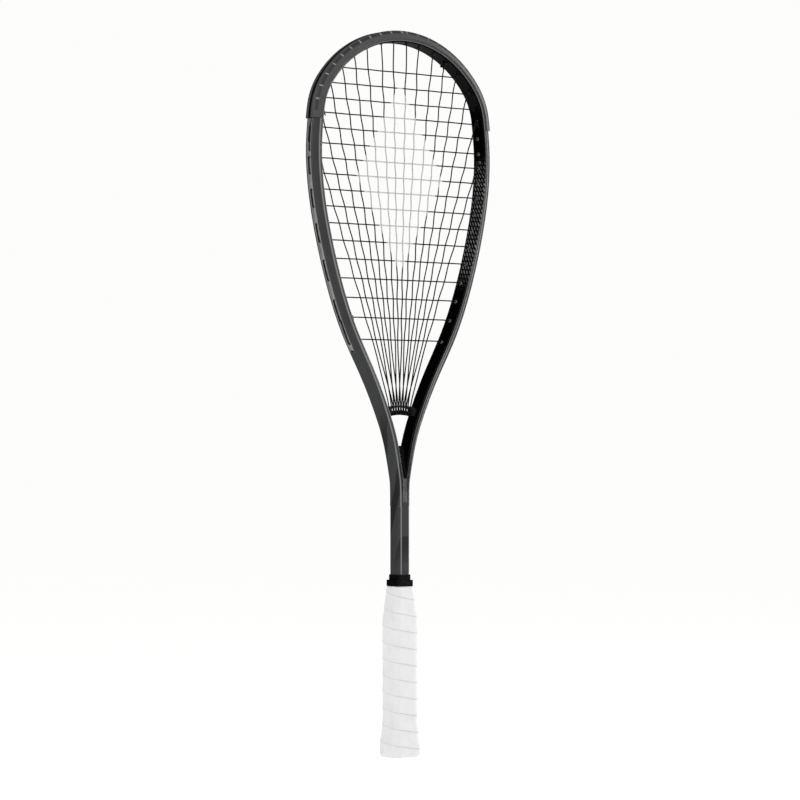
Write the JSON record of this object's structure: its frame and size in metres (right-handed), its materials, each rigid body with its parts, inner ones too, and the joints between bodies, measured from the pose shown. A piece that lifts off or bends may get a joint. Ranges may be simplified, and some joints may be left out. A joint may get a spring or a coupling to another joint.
{
  "type": "squash racket",
  "caption": "Teardrop-headed squash racket: hollow carbon hoop and shaft, woven string bed turned round a throat yoke, grommets, bumper guard and a wrapped white handle.",
  "frame": {"origin": "centre of the butt end of the handle", "axes": "+Z from the butt to the crown of the head, X across the head in the string plane, Y across the string plane with -Y the front face"},
  "size_m": [0.2122, 0.0288, 0.686],
  "materials": {
    "painted_carbon": "satin charcoal paint over carbon composite, gloss black inside the hoop",
    "grommet_nylon": "moulded grey nylon",
    "yoke_nylon": "moulded black nylon",
    "string_nylon": "black multifilament nylon",
    "pallet_foam": "moulded rigid polyurethane foam",
    "cap_plastic": "moulded black plastic",
    "staple_steel": "galvanised wire",
    "base_grip_leather": "synthetic leather",
    "black_tape": "vinyl tape",
    "overgrip_fabric": "soft white polyurethane on non-woven backing",
    "collar_rubber": "smooth moulded black rubber"
  },
  "bodies": {
    "root": {"frame": "painted_carbon", "bumper_guard": "grommet_nylon", "left_grommet_strip": "grommet_nylon", "right_grommet_strip": "grommet_nylon", "throat_yoke": "yoke_nylon", "main_string": "string_nylon", "cross_string": "string_nylon", "handle_pallet": "pallet_foam", "butt_cap": "cap_plastic", "butt_cap_staples": "staple_steel", "base_grip": "base_grip_leather", "base_grip_staple": "staple_steel", "finishing_tape": "black_tape", "overgrip": "overgrip_fabric", "overgrip_tape": "black_tape", "rubber_collar": "collar_rubber"}
  },
  "joints": []
}
